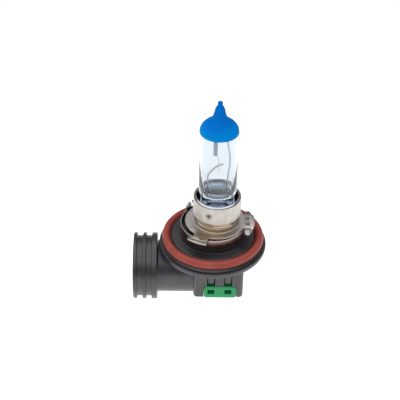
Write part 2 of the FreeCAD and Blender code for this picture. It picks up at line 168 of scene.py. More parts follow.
def combined(base, tools, operation):
    """Runs Boolean modifiers of base with each tool and returns the result as a bmesh."""
    body = loose_object(base, "work")
    helpers = [loose_object(tool) for tool in tools]
    for helper in helpers:
        step = body.modifiers.new("step", "BOOLEAN")
        step.operation = operation
        step.solver = "EXACT"
        step.object = helper
    bpy.context.view_layer.update()
    shown = body.evaluated_get(bpy.context.evaluated_depsgraph_get())
    bm = bmesh.new()
    bm.from_mesh(shown.to_mesh())
    shown.to_mesh_clear()
    for obj in [body] + helpers:
        mesh = obj.data
        bpy.data.objects.remove(obj)
        bpy.data.meshes.remove(mesh)
    bmesh.ops.remove_doubles(bm, verts=bm.verts, dist=1e-4)
    bmesh.ops.dissolve_degenerate(bm, edges=bm.edges, dist=1e-4)
    return bm


def joined(base, tools):
    return combined(base, tools, "UNION")


def carved(base, tools):
    return combined(base, tools, "DIFFERENCE")


notched = carved(rounded_bar((0, 0, 0), (2, 2, 2)), [rounded_bar((1, 1, 1), (3, 3, 3))])
print("carving check", len(notched.faces), "faces")
notched.free()


def turned_about_z(bm, degrees):
    """Turns a whole shape about the lamp axis."""
    turn = Matrix.Rotation(math.radians(degrees), 3, "Z")
    bmesh.ops.rotate(bm, verts=bm.verts, cent=(0, 0, 0), matrix=turn)
    return bm


# %% Finishing a piece
def finish_piece(bm, name, material, stands_for, body=LAMP, smooth_deg=35):
    """Turns a millimetre shape into a named piece in metres that rides on a CAD body."""
    for face in bm.faces:
        face.smooth = True
    for edge in bm.edges:
        if len(edge.link_faces) == 2:
            edge.smooth = edge.calc_face_angle() < math.radians(smooth_deg)
    bmesh.ops.scale(bm, vec=(MM, MM, MM), verts=bm.verts)
    mesh = bpy.data.meshes.new(name)
    bm.to_mesh(mesh)
    count = sum(len(f.verts) - 2 for f in bm.faces)
    bm.free()
    mesh.materials.append(material)
    piece = bpy.data.objects.new(name, mesh)
    bpy.context.scene.collection.objects.link(piece)
    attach(piece, body)
    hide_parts(*stands_for)
    print(name, "size mm", [round(side / MM, 2) for side in piece.dimensions], "triangles", count)


# %% [markdown]
# ## Helpers for finishes
# A finish is a small graph of nodes. Written as Python sums it is easier to read than as
# links, so `Flow` wraps a socket and turns + - * into Math nodes, and `Graph` makes any
# other node from its type, its settings and the values of its sockets. `Finish` is the
# graph of one material, with the few patterns that the bulb's finishes share.


# %% Sockets that do sums
class Flow:
    """A node's output that can be added, subtracted and multiplied like a number."""

    def __init__(self, graph, socket):
        self.graph = graph
        self.socket = socket

    def maths(self, operation, a, b):
        return self.graph.node("ShaderNodeMath", {"operation": operation}, {0: a, 1: b})

    def __add__(self, other):
        return self.maths("ADD", self, other)

    __radd__ = __add__

    def __mul__(self, other):
        return self.maths("MULTIPLY", self, other)

    __rmul__ = __mul__

    def __sub__(self, other):
        return self.maths("SUBTRACT", self, other)

    def __rsub__(self, other):
        return self.maths("SUBTRACT", other, self)


class Graph:
    """A node tree and the one way a node is made in it."""

    def __init__(self, tree):
        self.tree = tree

    def node(self, kind, settings=None, inputs=None, output=0):
        """Makes a node: its type first, then its settings, then its inputs."""
        made = self.tree.nodes.new(kind)
        for key, value in (settings or {}).items():
            if key == "stops":
                self.set_stops(made.color_ramp, value)
            else:
                setattr(made, key, value)
        for key, value in (inputs or {}).items():
            self.feed(made.inputs[key], value)
        return Flow(self, made.outputs[output])

    def feed(self, socket, value):
        if isinstance(value, Flow):
            self.tree.links.new(value.socket, socket)
        else:
            socket.default_value = value

    def set_stops(self, ramp, stops):
        while len(ramp.elements) < len(stops):
            ramp.elements.new(1.0)
        for element, (place, colour) in zip(ramp.elements, stops):
            element.position = place
            element.color = (*colour, 1.0)

    def spread(self, value, from_low, from_high, to_low, to_high):
        """Maps a range of values to another one, clamped at both ends."""
        inputs = {0: value, 1: from_low, 2: from_high, 3: to_low, 4: to_high}
        return self.node("ShaderNodeMapRange", {"clamp": True}, inputs)


class Finish(Graph):
    """A material and the few node groups that its finish is made of."""

    def __init__(self, name):
        self.material = bpy.data.materials.new(name)
        self.material.use_nodes = True
        super().__init__(self.material.node_tree)
        self.shader = self.tree.nodes["Principled BSDF"]

    def give(self, **values):
        """Sets inputs of the shader, whose names are written with underscores."""
        for key, value in values.items():
            name = key.replace("_", " ").title().replace("Ior", "IOR")
            self.feed(self.shader.inputs[name], value)

    def where(self):
        return self.node("ShaderNodeTexCoord", output="Object")

    def place(self, scale=(1, 1, 1)):
        """Object coordinates counted in millimetres and stretched."""
        inputs = {"Vector": self.where(), "Scale": [v / MM for v in scale]}
        return self.node("ShaderNodeMapping", {}, inputs)

    def height(self):
        """Height above the reference plane, in metres."""
        return self.node("ShaderNodeSeparateXYZ", {}, {0: self.where()}, output="Z")

    def distance(self, place):
        """Distance in metres from a place given in millimetres."""
        inputs = {0: self.where(), 1: [v * MM for v in place]}
        return self.node("ShaderNodeVectorMath", {"operation": "DISTANCE"}, inputs, output="Value")

    def noise(self, scale, detail=3.0, roughness=0.5, at=None):
        inputs = {"Vector": at or self.place(), "Scale": scale, "Detail": detail, "Roughness": roughness}
        return self.node("ShaderNodeTexNoise", {"normalize": True}, inputs)

    def ramp(self, value, stops):
        return self.node("ShaderNodeValToRGB", {"stops": stops}, {0: value})

    def blend(self, mask, first, second):
        ends = [end if isinstance(end, Flow) else (*end, 1.0) for end in (first, second)]
        inputs = {0: mask, 6: ends[0], 7: ends[1]}
        return self.node("ShaderNodeMix", {"data_type": "RGBA"}, inputs, output=2)

    def tint(self, mask, colour):
        """Blends the finished base colour towards another one where the mask is 1."""
        socket = self.shader.inputs["Base Color"]
        self.feed(socket, self.blend(mask, Flow(self, socket.links[0].from_socket), colour))

    def bump(self, height, distance, strength=1.0):
        inputs = {"Height": height, "Distance": distance * MM, "Strength": strength}
        self.feed(self.shader.inputs["Normal"], self.node("ShaderNodeBump", {}, inputs))


print("finish helpers ready")

# %% [markdown]
# ## Quartz glass
# The envelope is fused quartz: almost colourless, very smooth, with a refractive index of
# 1.46. The faint blue tint comes from the glass itself, so it is set as the base colour
# of a fully transmitting surface. Light crosses four skins, so the tint is a weak one.

# %% Quartz
quartz = Finish("quartz_glass")
quartz.give(base_color=(0.755, 0.793, 0.82, 1.0), roughness=0.0, ior=1.46, transmission_weight=1.0)
print("quartz bends light by", quartz.shader.inputs["IOR"].default_value)

# %% [markdown]
# ## Blue filter lacquer
# The dome is dipped in a blue filter lacquer and baked. It is a deep, even blue with soft
# clouds where it ran thick or thin, and it hardly mirrors the room. Slow noise through a
# colour ramp makes the clouds. The distance from the top adds a painted glow that makes
# the lower edge paler, as if light shone through the lacquer, and the specular level is
# kept very low.

# %% Lacquer
LACQUER_TOP = (BURNER_X, 0, 35.5)
lacquer = Finish("blue_lacquer")
clouds = lacquer.noise(0.35, detail=2.0)
# painted glow: the lower edge of the dome is made paler, as if light shone through the lacquer
painted_glow_from_top = lacquer.spread(lacquer.distance(LACQUER_TOP), 1.5 * MM, 6.5 * MM, 0.0, 1.0)
clouds_and_painted_glow = clouds * 0.45 + painted_glow_from_top * 0.55
BLUES = [(0.2, (0.0, 0.21, 0.78)), (0.5, (0.0, 0.2, 0.74)), (0.85, (0.0, 0.33, 0.92))]
lacquer.give(base_color=lacquer.ramp(clouds_and_painted_glow, BLUES), roughness=0.5, specular_ior_level=0.03)
print("lacquer blues", len(BLUES))

# %% [markdown]
# ## Drawn wire
# The lead wires are molybdenum, satin grey with fine draw marks, and the coil is
# tungsten, which is bluer and a little rougher. Both are metals, so only those differ.


# %% Wire metals
def wire_metal(name, colour, rough):
    metal = Finish(name)
    grain = metal.noise(9.0, detail=4.0)
    metal.give(
        base_color=metal.blend(grain, [c * 0.85 for c in colour], colour),
        metallic=1.0, roughness=metal.spread(grain, 0.3, 0.7, rough - 0.06, rough + 0.06),
    )
    return metal.material


molybdenum = wire_metal("molybdenum", (0.64, 0.69, 0.74), 0.35)
tungsten = wire_metal("tungsten", (0.66, 0.77, 0.88), 0.42)
print("wire metals ready")

# %% [markdown]
# ## Pressed and drawn sheet
# The holder's pieces are thin sheet. Drawing leaves fine lines round the wall, and the
# plating is never quite even. Noise that is squeezed along Z makes the lines, and slow
# noise makes the uneven plating. Some pieces change with height: the collar is polished
# at its rolled rim only; the sleeve's neck is painted warm brown over the plain grey of its
# plate, a painted reflection of the red seal and the dark housing; and the ring's band is
# painted dark red-brown where it goes down into the housing, painted shade with a painted
# reflection of the seal.


# %% Sheet metals
def sheet_metal(name, bright, dull, rough, line_depth, below=None):
    """Drawn sheet. `below` is a height in millimetres, the colour under it and added roughness."""
    metal = Finish(name)
    cloud = metal.noise(0.5, detail=4.0, roughness=0.55)
    lines = metal.noise(2.0, detail=3.0, at=metal.place(scale=(0.25, 0.25, 14.0)))
    fine = metal.noise(30.0, detail=2.0)
    colour = metal.blend(metal.spread(cloud, 0.35, 0.65, 0.0, 1.0), dull, bright)
    dullness = metal.spread(cloud * 0.6 + lines * 0.4, 0.35, 0.65, rough - 0.05, rough + 0.07)
    if below:
        level, low_colour, duller = below
        low = metal.spread(metal.height(), (level - 0.1) * MM, (level + 0.1) * MM, 1.0, 0.0)
        patches = metal.spread(cloud, 0.4, 0.6, 0.0, 1.0)
        patchy = metal.blend(patches, [c * 0.85 for c in low_colour], low_colour)
        colour = metal.blend(low, colour, patchy)
        dullness = dullness + low * duller
    metal.give(base_color=colour, metallic=1.0, roughness=dullness)
    metal.bump(lines * 0.7 + fine * 0.3, line_depth)
    return metal


RIM_LEVEL, PLATE_LEVEL, BAND_LEVEL = 8.75, 0.3, -0.8
collar_steel = sheet_metal(
    "collar_steel", (0.62, 0.62, 0.63), (0.55, 0.55, 0.56), 0.1, 0.005,
    below=(RIM_LEVEL, (0.69, 0.66, 0.615), 0.42),
)
# painted reflection: the warm brown above PLATE_LEVEL stands in for the red seal and dark housing mirrored
# in the neck; the plate keeps a plain grey
nickel_with_painted_light = sheet_metal(
    "nickel_with_painted_light", (0.52, 0.45, 0.36), (0.4, 0.34, 0.26), 0.16, 0.015,
    below=(PLATE_LEVEL, (0.7, 0.66, 0.63), 0.22),
)
# painted shade and a painted reflection of the seal: below BAND_LEVEL the band is made dark red-brown
ring_steel = sheet_metal(
    "ring_steel", (0.46, 0.44, 0.43), (0.38, 0.36, 0.35), 0.2, 0.01,
    below=(BAND_LEVEL, (0.2, 0.14, 0.13), 0.05),
)
clip_steel = sheet_metal("clip_steel", (0.5, 0.57, 0.72), (0.36, 0.42, 0.56), 0.14, 0.005)
tinned_brass = sheet_metal("tinned_brass", (0.74, 0.71, 0.64), (0.62, 0.58, 0.5), 0.3, 0.008)
print("sheet metals ready")

# %% [markdown]
# ## Heat tint at the spot welds, painted reflections and a painted highlight
# A laser or resistance weld leaves a small pit with a pale yellow to grey-brown halo. The
# distance to each weld's centre makes a round mask that darkens the colour there. The
# front of the plate is painted yellow-brown, a painted reflection of the red seal and the
# dark housing, and the part of the sleeve that stands inside the collar is painted blue-grey,
# a painted reflection of the blue dome. The ring's bent-up finger is painted bright as a
# painted highlight. Each of these is one more tint blended over the finished colour.


# %% Weld tint and painted light
def tint_spots(metal, places, radius):
    """Darkens round spots on a finish; places are in millimetres."""
    for place in places:
        reach = metal.distance(place)
        halo = metal.spread(reach, radius * 0.55 * MM, radius * 1.35 * MM, 1.0, 0.0)
        core = metal.spread(reach, radius * 0.2 * MM, radius * 0.8 * MM, 1.0, 0.0)
        metal.tint(halo * 0.8, (0.3, 0.26, 0.2))
        metal.tint(core * 0.9, (0.1, 0.085, 0.07))


COLLAR_R = 6.88
COLLAR_LOW, COLLAR_TOP = 3.2, 9.2
WELD_Z = 6.0
WELD_ANGLES = (-111.5, 10, 130)
WELDS = []
for angle in map(math.radians, WELD_ANGLES):
    WELDS.append((BURNER_X + COLLAR_R * math.cos(angle), COLLAR_R * math.sin(angle), WELD_Z))
DIMPLE_FLOOR = -0.3
DIMPLES = [(9.92, 0.72), (9.88, -1.83), (-3.31, -8.68), (-2.56, 8.94)]
PLATE_FRONT = (0.5, -9.0, 0)
tint_spots(collar_steel, WELDS[:2], 0.95)
# painted highlight: the bent-up finger, the only part above the plate, is made near white
painted_highlight_finger = ring_steel.spread(ring_steel.height(), 0.0, 0.3 * MM, 0.0, 1.0)
ring_steel.tint(painted_highlight_finger, (0.85, 0.84, 0.83))
# painted reflection of the red seal and dark housing: the front of the plate is tinted yellow-brown
painted_warm_front = nickel_with_painted_light.spread(nickel_with_painted_light.distance(PLATE_FRONT), 5.0 * MM, 8.5 * MM, 0.75, 0.0)
nickel_with_painted_light.tint(painted_warm_front, (0.5, 0.41, 0.31))
# painted reflection of the blue dome: the sleeve inside the collar is tinted blue-grey
painted_blue_in_collar = nickel_with_painted_light.spread(nickel_with_painted_light.height(), COLLAR_LOW * MM, (COLLAR_LOW + 0.4) * MM, 0.0, 1.0)
nickel_with_painted_light.tint(painted_blue_in_collar, (0.56, 0.64, 0.78))
tint_spots(nickel_with_painted_light, [(x, y, DIMPLE_FLOOR) for x, y in DIMPLES], 0.8)
print("weld spots", len(WELDS) + len(DIMPLES))

# %% [markdown]
# ## Moulded plastics and silicone
# The housing is black glass-filled plastic: satin, with a very fine grain and faint flow
# marks. The lock is a plain green moulding, softer and smoother. The seal ring is
# brick-red silicone and matte; its inner face and its bottom are painted deep red as
# painted shade, so the outer crown shows paler.


# %% Plastics
def moulded(name, colour, pale, rough, grain_depth, shine=0.5, grain_scale=14.0, streaks=(1, 1, 1)):
    """A moulding: `pale` shows in the flow marks, which `streaks` stretches."""
    plastic = Finish(name)
    flow = plastic.noise(0.4, detail=5.0, roughness=0.6, at=plastic.place(scale=streaks))
    grain = plastic.noise(grain_scale, detail=3.0)
    mask = plastic.spread(flow * 0.7 + grain * 0.3, 0.35, 0.65, 0.0, 1.0)
    plastic.give(
        base_color=plastic.blend(mask, colour, pale), specular_ior_level=shine,
        roughness=plastic.spread(grain, 0.3, 0.7, rough - 0.05, rough + 0.06),
    )
    plastic.bump(grain, grain_depth, 0.6)
    return plastic


black_plastic = moulded(
    "black_plastic", (0.011, 0.011, 0.014), (0.032, 0.032, 0.038), 0.33, 0.03,
    shine=0.85, streaks=(2.0, 1.2, 0.6),
)
green_plastic = moulded("green_plastic", (0.015, 0.31, 0.1), (0.03, 0.37, 0.13), 0.4, 0.01, shine=0.3)
SEAL_R, SEAL_SECTION, SEAL_Z = 13.5, 1.29, -5.79
red_silicone = moulded(
    "red_silicone", (0.34, 0.055, 0.042), (0.44, 0.085, 0.06), 0.42, 0.012, shine=0.35, grain_scale=10.0,
)
from_centre = red_silicone.distance((0, 0, SEAL_Z))
# painted shade: the seal's inner face and its bottom are made darker red
painted_shade_inner_side = red_silicone.spread(from_centre, (SEAL_R - 0.6) * MM, (SEAL_R + 0.4) * MM, 0.8, 0.0)
red_silicone.tint(painted_shade_inner_side, (0.2, 0.018, 0.018))
painted_shade_underside = red_silicone.spread(red_silicone.height(), (SEAL_Z - 0.9) * MM, (SEAL_Z - 0.2) * MM, 0.85, 0.0)
red_silicone.tint(painted_shade_underside, (0.07, 0.008, 0.007))
white_insulator = moulded("white_insulator", (0.62, 0.6, 0.55), (0.7, 0.69, 0.64), 0.5, 0.01)
potting = moulded("potting_silicone", (0.03, 0.03, 0.033), (0.045, 0.045, 0.05), 0.35, 0.02)
print("mouldings ready")

# %% [markdown]
# ## The quartz envelope
# On the real bulb a quartz tube is pressed flat while hot at its lower end and drawn to a
# tip at the top. Rings of points change gently from circle to rounded rectangle on the
# way down, and each ring is bridged to the next. The cavity is a second closed skin
# inside the first, so the glass has true wall thickness and refracts as it should.

# %% Rings that change shape
RING_POINTS = 128


def ring_of_points(bm, z, half_x, half_y, squareness):
    """One loop of points: squareness 2 is a circle, 6 nearly a rectangle."""
    loop = bmesh.ops.create_circle(bm, radius=1.0, segments=RING_POINTS)["verts"]
    for vert in loop:
        c, s = vert.co.x, vert.co.y
        power = 2.0 / squareness
        vert.co.x = BURNER_X + half_x * math.copysign(abs(c) ** power, c)
        vert.co.y = half_y * math.copysign(abs(s) ** power, s)
        vert.co.z = z
    return loop


def bridged_rings(rings):
    """A closed skin over rings given from bottom to top as (z, half_x, half_y, squareness)."""
    bm = bmesh.new()
    loops = [ring_of_points(bm, *ring) for ring in rings]
    edge_sets = []
    for loop in loops:
        members = set(loop)
        edge_sets.append([e for e in bm.edges if e.verts[0] in members and e.verts[1] in members])
    for low, high in zip(edge_sets, edge_sets[1:]):
        bmesh.ops.bridge_loops(bm, edges=low + high)
    for loop in (loops[0], loops[-1]):
        bmesh.ops.contextual_create(bm, geom=loop)
    bmesh.ops.recalc_face_normals(bm, faces=bm.faces)
    return bm


def smooth_profile(points, count):
    """Points of a smooth curve through (radius, height) points, evenly spread."""
    made = []
    last = len(points) - 1
    for i in range(count + 1):
        t = i / count * last
        k = min(int(t), last - 1)
        u = t - k
        p0, p1 = Vector(points[max(k - 1, 0)]), Vector(points[k])
        p2, p3 = Vector(points[k + 1]), Vector(points[min(k + 2, last)])
        made.append(
            0.5 * (2 * p1 + (p2 - p0) * u + (2 * p0 - 5 * p1 + 4 * p2 - p3) * u * u
                   + (3 * p1 - p0 - 3 * p2 + p3) * u ** 3)
        )
    return made


# %% Envelope
GLASS_R = 5.45
DOME = [
    (GLASS_R, 29.4), (5.44, 30.4), (5.3, 31.35), (5.02, 32.0), (4.65, 32.5), (4.18, 33.0), (3.6, 33.5),
    (2.93, 34.0), (2.33, 34.6), (1.9, 35.4), (1.6, 36.4), (1.36, 37.5), (1.08, 38.2), (0.76, 38.7),
    (0.6, 39.0), (0.68, 39.4), (0.6, 39.83), (0.34, 40.06), (0.06, 40.1),
]
BLUE_FROM = 30.5
dome_points = smooth_profile(DOME, 96)
PINCH = [
    (3.6, 4.05, 1.3, 9), (3.75, 4.2, 1.5, 9), (5.0, 4.2, 1.5, 9), (6.5, 4.2, 1.5, 8), (7.9, 4.2, 1.52, 7),
    (8.5, 4.22, 1.62, 6), (8.9, 4.3, 1.95, 5), (9.25, 4.42, 2.45, 4), (9.6, 4.62, 3.1, 3.2),
    (9.95, 4.9, 3.8, 2.6), (10.3, 5.15, 4.5, 2.25), (10.75, 5.35, 5.05, 2.05), (11.3, 5.44, 5.38, 2),
    (12.0, GLASS_R, GLASS_R, 2), (20.0, GLASS_R, GLASS_R, 2), (26.0, GLASS_R, GLASS_R, 2),
]
skin = bridged_rings(PINCH + [(z, r, r, 2) for r, z in dome_points])
CAVITY_R = 4.75
CAVITY_TOP = [
    (CAVITY_R, 29.2), (4.7, 30.3), (4.48, 31.3), (4.0, 32.0), (3.2, 32.6), (2.35, 33.1), (1.6, 33.7),
    (1.1, 34.5), (0.75, 35.5), (0.4, 36.5), (0.03, 36.9),
]
CAVITY_FLOOR = [
    (10.75, 0.05, 0.05, 2), (10.78, 1.4, 1.2, 2), (10.88, 2.6, 2.3, 2), (11.12, 3.6, 3.35, 2.1),
    (11.5, 4.25, 4.1, 2.1), (12.0, 4.6, 4.52, 2), (12.7, CAVITY_R, CAVITY_R, 2),
    (22.0, CAVITY_R, CAVITY_R, 2),
]
hollow = bridged_rings(CAVITY_FLOOR + [(z, r, r, 2) for r, z in smooth_profile(CAVITY_TOP, 40)])
bmesh.ops.reverse_faces(hollow, faces=hollow.faces)
hollow_mesh = bpy.data.meshes.new("hollow")
hollow.to_mesh(hollow_mesh)
hollow.free()
skin.from_mesh(hollow_mesh)
bpy.data.meshes.remove(hollow_mesh)
finish_piece(skin, "quartz_envelope", quartz.material, ["glass_envelope"])

# %% [markdown]
# ## The lacquer skin
# The lacquer is its own thin skin over the dome. It follows the same outline a few
# hundredths of a millimetre further out and ends in a thin feathered edge.

# %% Lacquer skin
SKIN = 0.06
SUNK = 0.004
FEATHER = 0.012
skin_points = [(r, z) for r, z in dome_points if z >= BLUE_FROM]
outer_line = []
for i, (r, z) in enumerate(skin_points):
    a = Vector(skin_points[max(i - 1, 0)])
    b = Vector(skin_points[min(i + 1, len(skin_points) - 1)])
    way = (b - a).normalized()
    outer_line.append((r + way.y * SKIN, z - way.x * SKIN))
edge_line = [(skin_points[0][0] + FEATHER, BLUE_FROM - 0.05)]
inner_line = [(max(r - SUNK, 0.0), z) for r, z in skin_points]
cap = [(0.0, outer_line[-1][1])]
profile = edge_line + outer_line + cap + [(0.0, inner_line[-1][1])] + inner_line[::-1]
coat = spun_outline(profile, steps=128, centre=(BURNER_X, 0, 0))
finish_piece(coat, "lacquer_skin", lacquer.material, ["dome_lacquer"])

# %% [markdown]
# ## Wires and coil
# A wire is a curve with a round section. The coil is the same thing on a helix. The
# curve is turned into a mesh once it is right, so that it exports like any other piece.


# %% Drawn wires
def drawn_wire(name, points, radius, material, stands_for, smooth=True):
    """A round wire through points in millimetres."""
    curve = bpy.data.curves.new(name, "CURVE")
    curve.dimensions = "3D"
    curve.bevel_depth = radius
    curve.bevel_resolution = 4
    curve.use_fill_caps = True
    spline = curve.splines.new("NURBS" if smooth else "POLY")
    spline.points.add(len(points) - 1)
    for knot, place in zip(spline.points, points):
        knot.co = (*place, 1.0)
    if smooth:
        spline.order_u = 4
        spline.use_endpoint_u = True
        spline.resolution_u = 10
    holder = bpy.data.objects.new(name, curve)
    bm = bmesh.new()
    bm.from_mesh(bpy.data.meshes.new_from_object(holder))
    bpy.data.objects.remove(holder)
    bpy.data.curves.remove(curve)
    bmesh.ops.recalc_face_normals(bm, faces=bm.faces)
    finish_piece(bm, name, material, stands_for, smooth_deg=60)


SUPPORT_R = 0.26
drawn_wire(
    "short_support",
    [(-1.95, 0, 9.2), (-1.95, 0, 12.2), (-2.1, 0, 14.6), (-2.0, 0, 15.8), (-1.2, 0, 17.1), (-0.2, 0, 18.4),
     (0.7, 0, 19.2), (1.4, 0, 19.5), (2.3, 0, 19.85)],
    SUPPORT_R, molybdenum, ["short_lead"],
)
drawn_wire(
    "long_support",
    [(3.7, 0, 9.2), (3.7, 0, 12.0), (3.85, 0, 15.5), (4.25, 0, 19.9), (4.25, 0, 22.2), (3.75, 0, 25.0),
     (3.35, 0, 27.6), (3.0, 0, 29.2), (1.8, 0, 29.6), (0.5, 0, 29.3)],
    SUPPORT_R, molybdenum, ["long_lead"],
)

# %% Filament coil
COIL_X = 0.1
COIL_R = 0.52
COIL_TURNS = 20
COIL_LOW, COIL_HIGH = 22.75, 27.25
COIL_WIRE_R = 0.085
STEPS_A_TURN = 20
helix = []
for i in range(COIL_TURNS * STEPS_A_TURN + 1):
    turn = math.tau * i / STEPS_A_TURN
    rise = COIL_LOW + (COIL_HIGH - COIL_LOW) * i / (COIL_TURNS * STEPS_A_TURN)
    helix.append((COIL_X + COIL_R * math.cos(turn), COIL_R * math.sin(turn), rise))
lower_leg = [
    (1.1, -0.42, 17.9), (1.06, -0.42, 19.0), (1.05, -0.42, 20.2), (1.1, -0.42, 21.3),
    (0.8, -0.34, 22.1), (0.66, -0.2, 22.6),
]
upper_leg = [(0.68, 0.2, 27.5), (0.72, 0.34, 27.9), (0.75, 0.42, 28.4), (0.75, 0.42, 29.9)]
coil_line = lower_leg + helix + upper_leg
drawn_wire("tungsten_coil", coil_line, COIL_WIRE_R, tungsten, ["filament_coil"], smooth=False)

# %% [markdown]
# ## Collar
# The collar is a drawn cup with its rim rolled inward. The wall gets many rows of points
# so that the weld pits can be pressed in as smooth hollows, each a soft dip in the mesh.
# The rim turns inward on a wide radius, which gives it a bright line over a dark one.

# %% Burner collar
COLLAR_WALL = 0.35
OPENING_R = 6.02
ROWS, ROW_STEP = 33, 0.16
PIT_REACH, PIT_DEPTH = 0.75, 0.16
inner_wall = COLLAR_R - COLLAR_WALL
outline = rounded_outline([
    (inner_wall, COLLAR_LOW, 0.08), (COLLAR_R - 0.02, COLLAR_LOW, 0.22), (COLLAR_R, COLLAR_TOP, 0.68),
    (OPENING_R, COLLAR_TOP - 0.02, 0.1), (OPENING_R, COLLAR_TOP - 0.36, 0.12),
    (inner_wall, COLLAR_TOP - 0.4, 0.15),
])
collar = spun_outline(outline, steps=240, centre=(BURNER_X, 0, 0))
for row in range(1, ROWS + 1):
    z = COLLAR_LOW + 0.2 + row * ROW_STEP
    whole = collar.verts[:] + collar.edges[:] + collar.faces[:]
    bmesh.ops.bisect_plane(collar, geom=whole, plane_co=(0, 0, z), plane_no=(0, 0, 1))
for weld in WELDS:
    weld = Vector(weld)
    inward = Vector((BURNER_X, 0, WELD_Z)) - weld
    inward.normalize()
    for vert in collar.verts:
        away = (vert.co - weld).length
        if away < PIT_REACH:
            vert.co += inward * PIT_DEPTH * (0.5 + 0.5 * math.cos(math.pi * away / PIT_REACH))
finish_piece(collar, "drawn_collar", collar_steel.material, ["burner_collar"])

# %% [markdown]
# ## Sleeve with its tabs
# The sleeve's neck has a rolled bead and a groove. Below it the same sheet opens into a
# plate with three tabs, each pressed down onto a lug of the ring and welded in dimples.

# %% Base sleeve
SHEET = 0.5
NECK_R = 6.3
PLATE_R = 8.75
PLATE_X = 0.6
FOOT_R = 7.6
SLEEVE_R, SLEEVE_TOP = 6.46, 8.3
BEAD = 0.16
SLEEVE_INNER_R, NECK_INNER_R = 6.1, 5.88
neck_outline = rounded_outline([
    (SLEEVE_INNER_R, SLEEVE_TOP, 0.05), (SLEEVE_INNER_R, 3.4, 0.2), (NECK_INNER_R, 2.9, 0.3),
    (NECK_INNER_R, -SHEET, 0.1), (FOOT_R, -SHEET, 0), (FOOT_R, 0, 0), (NECK_R + 0.04, 0.02, 0.4),
    (NECK_R, 0.98, 0.12), (NECK_R + BEAD, 1.05, 0.12), (NECK_R + BEAD, 1.5, 0.12),
    (NECK_R - 0.1, 1.62, 0.12), (NECK_R - 0.1, 2.35, 0.12), (NECK_R + 0.08, 2.5, 0.12),
    (NECK_R + 0.08, 3.0, 0.1), (SLEEVE_R, 3.4, 0.1), (SLEEVE_R, SLEEVE_TOP, 0.05),
])
TABS = [(-3.4, 6.4, 12.0), (-113.9, 4.6, 10.3), (106.0, 4.6, 10.8)]
LUGS = [(-3.4, 11.0, 11.8), (-116.9, 6.2, 11.1), (107.0, 6.2, 11.8)]


def round_ended_lug(inner, reach, degrees, width, low, high):
    """A flat lug pointing outward, with a round outer edge, rounded corners and soft edges."""
    disc = bmesh.new()
    bmesh.ops.create_cone(
        disc, cap_ends=True, segments=180, radius1=reach, radius2=reach, depth=high - low,
        matrix=Matrix.Translation((0, 0, (low + high) / 2)),
    )
    strip = rounded_bar((inner, -width / 2, low - 1), (reach + 3, width / 2, high + 1))
    lug = combined(disc, [turned_about_z(strip, degrees)], "INTERSECT")
    corners = []
    for e in lug.edges:
        line = e.verts[0].co - e.verts[1].co
        upright = line.xy.length < 1e-3
        outside = e.verts[0].co.xy.length > (inner + reach) / 2
        if upright and outside and e.calc_face_angle(0) > math.radians(40):
            corners.append(e)
    rounded_edges(lug, corners, 0.6)
    soften(lug, 0.07)
    return lug


sleeve = spun_outline(neck_outline, steps=192, centre=(BURNER_X, 0, 0))
# Faces that lie in one plane upset the Boolean solver, so plate and tabs sit a hair higher.
HAIR = 0.002
plate_inner = FOOT_R - 0.8
plate_outline = rounded_outline([
    (plate_inner, HAIR - SHEET, 0), (PLATE_R, HAIR - SHEET, 0.08), (PLATE_R, HAIR, 0.12),
    (plate_inner, HAIR, 0),
])
plate = spun_outline(plate_outline, steps=192, centre=(PLATE_X, 0, 0))
TAB_IN = 7.4
tabs = []
for angle, width, reach in TABS:
    tabs.append(round_ended_lug(TAB_IN, reach, angle, width, 2 * HAIR - SHEET, 2 * HAIR))
sleeve = joined(sleeve, [plate] + tabs)
PUNCH_R = 0.66
punches = []
for x, y in DIMPLES:
    punch = bmesh.new()
    bmesh.ops.create_uvsphere(punch, u_segments=32, v_segments=16, radius=PUNCH_R)
    bmesh.ops.translate(punch, vec=(x, y, PUNCH_R + DIMPLE_FLOOR - 0.06), verts=punch.verts)
    punches.append(punch)
sleeve = carved(sleeve, punches)
finish_piece(sleeve, "pressed_sleeve", nickel_with_painted_light.material, ["base_sleeve"])

# %% [markdown]
# ## Reference ring
# A thin band set in the housing, whose 19 mm outside centres the bulb in the headlamp.
# Its three lugs are wider than the tabs on them, so they show past the tabs' edges, and
# a small finger beside one lug is bent straight up.

# %% Reference ring
REF_R = 9.5
REF_IN = REF_R - 0.45
BAND_LOW = -3.4
FINGER_TOP = 1.4
FINGER_ANGLE = 141.6
band_outline = rounded_outline([
    (REF_IN, BAND_LOW, 0.05), (REF_R, BAND_LOW, 0.05), (REF_R, -SHEET, 0.16), (REF_IN, -SHEET, 0.16),
])
band = spun_outline(band_outline, steps=192)
lugs = []
for angle, width, reach in LUGS:
    lugs.append(round_ended_lug(REF_IN + 0.1, reach, angle, width, -2 * SHEET, -SHEET - 0.01))
finger = rounded_bar((REF_IN, -1.3, -1.4), (REF_R + 0.13, 0.75, FINGER_TOP))
top_edges = []
for e in finger.edges:
    at_top = all(v.co.z > FINGER_TOP - 0.2 for v in e.verts)
    if at_top and abs(e.verts[0].co.x - e.verts[1].co.x) > 0.3:
        top_edges.append(e)
rounded_edges(finger, top_edges, 0.5)
soften(finger, 0.06)
band = joined(band, lugs + [turned_about_z(finger, FINGER_ANGLE)])
finish_piece(band, "keyed_ring", ring_steel.material, ["reference_ring"])

# %% [markdown]
# ## Seal ring
# A moulded O-ring shows a fine parting line round its outside and inside, where the two
# halves of the mould met. The section is a circle with a tiny ridge at those two places.

